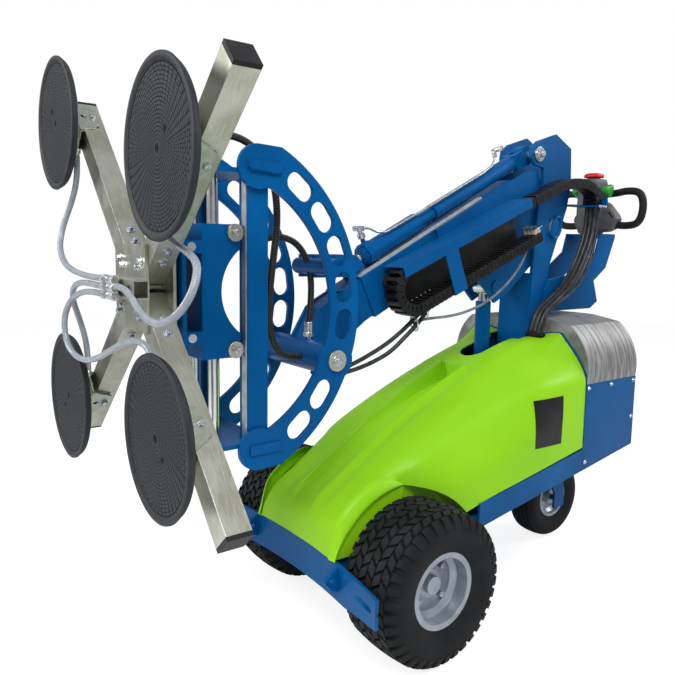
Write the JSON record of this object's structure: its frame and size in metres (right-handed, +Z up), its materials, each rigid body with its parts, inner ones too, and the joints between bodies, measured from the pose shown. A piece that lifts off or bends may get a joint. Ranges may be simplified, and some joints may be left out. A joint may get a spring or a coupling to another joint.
{
  "type": "glass panel lifter",
  "caption": "Pedestrian-controlled battery glass lifter: telescopic boom on a mast, slotted arc tilt frame and a rotating cross of vacuum discs on sprung brackets.",
  "frame": {"origin": "on the floor under the middle of the machine's outline", "axes": "+X to the machine's left, -Y to its front where the discs face, +Z up"},
  "size_m": [1.1393, 2.157, 1.7082],
  "materials": {
    "blue_paint": "gloss",
    "green_hood": "satin",
    "tyre": "matte",
    "rim_silver": "satin",
    "zinc": "satin",
    "chrome": "polished",
    "black_plastic": "matte",
    "grey_steel": "rolled",
    "dark_steel": "painted",
    "pad_rubber": "matte",
    "clear_hose": "satin",
    "hose_rubber": "matte",
    "brass": "satin",
    "spring_steel": "satin",
    "aluminium": "satin",
    "grey_plastic": "satin",
    "red_plastic": "gloss",
    "green_plastic": "satin"
  },
  "bodies": {
    "chassis": {"chassis_frame": "blue_paint", "front_bumper": "blue_paint", "rear_box": "blue_paint", "counterweights": "grey_steel", "hood": "green_hood", "mast": "blue_paint", "pivot_pins": "zinc", "power_pack": "dark_steel", "drive_axle": "dark_steel", "drop_hoses": "hose_rubber", "tiller_bracket": "blue_paint", "tiller_head": "grey_plastic", "tiller_loops": "black_plastic"},
    "left_wheel": {"left_front_tyre": "tyre", "left_front_rim": "rim_silver"},
    "right_wheel": {"right_front_tyre": "tyre", "right_front_rim": "rim_silver"},
    "castor": {"castor_fork": "blue_paint"},
    "castor_wheel": {"castor_tyre": "tyre", "castor_rim": "rim_silver"},
    "stop": {"stop_button": "red_plastic"},
    "horn": {"horn_button": "green_plastic"},
    "speed": {"speed_levers": "green_plastic"},
    "boom": {"outer_boom": "blue_paint", "wear_strip": "grey_plastic", "chain_tray": "blue_paint", "energy_chain": "black_plastic", "chain_arch": "black_plastic"},
    "boom_slide": {"inner_boom": "blue_paint"},
    "head_level": {"head_pin": "zinc"},
    "link_root": {"link_eye": "blue_paint"},
    "link_sleeve": {"link_barrel": "blue_paint"},
    "link_middle": {"link_tube": "blue_paint"},
    "link_tip": {"link_rod": "chrome"},
    "lift_base": {"lift_barrel": "blue_paint"},
    "lift_ram": {"lift_rod": "chrome"},
    "tilt_head": {"arc_plate_left": "blue_paint", "arc_plate_right": "blue_paint", "tilt_frame": "blue_paint", "slide_rods": "chrome", "run_strips": "aluminium", "frame_hose": "hose_rubber"},
    "carriage_body": {"carriage": "blue_paint", "carriage_rollers": "zinc", "shift_rods": "chrome"},
    "shift_body": {"shift_plate": "blue_paint"},
    "cross": {"cross_hub": "zinc", "cross_arms": "zinc", "arm_caps": "black_plastic", "vacuum_manifold": "brass", "vacuum_hose_near_top": "clear_hose", "vacuum_hose_far_top": "clear_hose", "vacuum_hose_near_bottom": "clear_hose", "vacuum_hose_far_bottom": "clear_hose", "cup_brackets": "zinc", "cup_springs": "spring_steel"},
    "disc_near_top": {"vacuum_disc_near_top": "pad_rubber"},
    "disc_far_top": {"vacuum_disc_far_top": "pad_rubber"},
    "disc_far_bottom": {"vacuum_disc_far_bottom": "pad_rubber"},
    "disc_near_bottom": {"vacuum_disc_near_bottom": "pad_rubber"}
  },
  "joints": [
    {"name": "left_wheel_spin", "type": "hinge", "parent": "chassis", "child": "left_wheel", "pos_m": [0.33, -0.255, 0.228], "axis": [1, 0, 0], "continuous": true},
    {"name": "right_wheel_spin", "type": "hinge", "parent": "chassis", "child": "right_wheel", "pos_m": [-0.33, -0.255, 0.228], "axis": [1, 0, 0], "continuous": true},
    {"name": "castor_swivel", "type": "hinge", "parent": "chassis", "child": "castor", "pos_m": [0, 0.688, 0.35], "axis": [0, 0, 1], "continuous": true},
    {"name": "castor_spin", "type": "hinge", "parent": "castor", "child": "castor_wheel", "pos_m": [0, 0.76, 0.165], "axis": [1, 0, 0], "continuous": true},
    {"name": "stop_press", "type": "slide", "parent": "chassis", "child": "stop", "axis": [0, 0, -1], "range_m": [0, 0.005], "stiffness_N_per_m": 900, "springref_m": -0.004},
    {"name": "horn_press", "type": "slide", "parent": "chassis", "child": "horn", "axis": [0, -1, 0], "range_m": [0, 0.005], "stiffness_N_per_m": 300, "springref_m": -0.003},
    {"name": "speed_turn", "type": "hinge", "parent": "chassis", "child": "speed", "pos_m": [0, 0.995, 1.44], "axis": [1, 0, 0], "range_deg": [-25, 25], "stiffness_Nm_per_rad": 2.5},
    {"name": "boom_lift", "type": "hinge", "parent": "chassis", "child": "boom", "pos_m": [0, 0.637, 1.279], "axis": [-1, 0, 0], "range_deg": [0, 20], "deforming": ["chain_arch"]},
    {"name": "boom_extend", "type": "slide", "parent": "boom", "child": "boom_slide", "axis": [0, -0.8949, -0.4462], "range_m": [0, 0.2]},
    {"name": "head_level", "type": "hinge", "parent": "boom_slide", "child": "head_level", "pos_m": [0, -0.46763, 0.87463], "axis": [-1, 0, 0], "range_deg": [-20, 0]},
    {"name": "head_tilt", "type": "hinge", "parent": "head_level", "child": "tilt_head", "pos_m": [0, -0.46763, 0.87463], "axis": [-1, 0, 0], "range_deg": [-8, 0.25]},
    {"name": "head_raise", "type": "slide", "parent": "tilt_head", "child": "carriage_body", "axis": [0, 0, 1], "range_m": [-0.1, 0.1]},
    {"name": "side_shift", "type": "slide", "parent": "carriage_body", "child": "shift_body", "axis": [1, 0, 0], "range_m": [-0.08, 0]},
    {"name": "head_rotate", "type": "hinge", "parent": "shift_body", "child": "cross", "pos_m": [0.04, -0.923, 1.087], "axis": [0, 1, 0], "continuous": true},
    {"name": "plunge_near_top", "type": "slide", "parent": "cross", "child": "disc_near_top", "axis": [0, 1, 0], "range_m": [0, 0.0025], "stiffness_N_per_m": 2500, "springref_m": -0.004, "deforming": ["cup_springs"]},
    {"name": "plunge_far_top", "type": "slide", "parent": "cross", "child": "disc_far_top", "axis": [0, 1, 0], "range_m": [0, 0.0025], "stiffness_N_per_m": 2500, "springref_m": -0.004},
    {"name": "plunge_far_bottom", "type": "slide", "parent": "cross", "child": "disc_far_bottom", "axis": [0, 1, 0], "range_m": [0, 0.0025], "stiffness_N_per_m": 2500, "springref_m": -0.004},
    {"name": "plunge_near_bottom", "type": "slide", "parent": "cross", "child": "disc_near_bottom", "axis": [0, 1, 0], "range_m": [0, 0.0025], "stiffness_N_per_m": 2500, "springref_m": -0.004},
    {"name": "link_swing", "type": "hinge", "parent": "chassis", "child": "link_root", "pos_m": [0, 0.52, 1.543], "axis": [-1, 0, 0], "range_deg": [0, 26.61]},
    {"name": "link_trim", "type": "hinge", "parent": "link_root", "child": "link_sleeve", "pos_m": [0, 0.52, 1.543], "axis": [-1, 0, 0], "range_deg": [-0.1, 2.5]},
    {"name": "link_extend", "type": "slide", "parent": "link_sleeve", "child": "link_middle", "axis": [0, -0.8949, -0.4462], "range_m": [0, 0.201]},
    {"name": "link_tilt_ram", "type": "slide", "parent": "link_middle", "child": "link_tip", "axis": [0, -0.8949, -0.4462], "range_m": [-0.001, 0.023]},
    {"name": "lift_lean", "type": "hinge", "parent": "chassis", "child": "lift_base", "pos_m": [0, 0.335, 0.47], "axis": [-1, 0, 0], "range_deg": [-4.9, 0.1]},
    {"name": "lift_stroke", "type": "slide", "parent": "lift_base", "child": "lift_ram", "axis": [0, 0, 1], "range_m": [0, 0.12]}
  ],
  "couplings": [
    {"joint": "head_level", "follows": "boom_lift", "ratio": -1},
    {"joint": "link_swing", "follows": "boom_lift", "ratio": 1.3054},
    {"joint": "link_trim", "follows": "head_tilt", "ratio": -0.292},
    {"joint": "link_extend", "follows": "boom_extend", "ratio": 1},
    {"joint": "link_tilt_ram", "follows": "head_tilt", "m_per_rad": -0.1574},
    {"joint": "lift_lean", "follows": "boom_lift", "ratio": -0.23785},
    {"joint": "lift_stroke", "follows": "boom_lift", "m_per_rad": 0.34155}
  ]
}
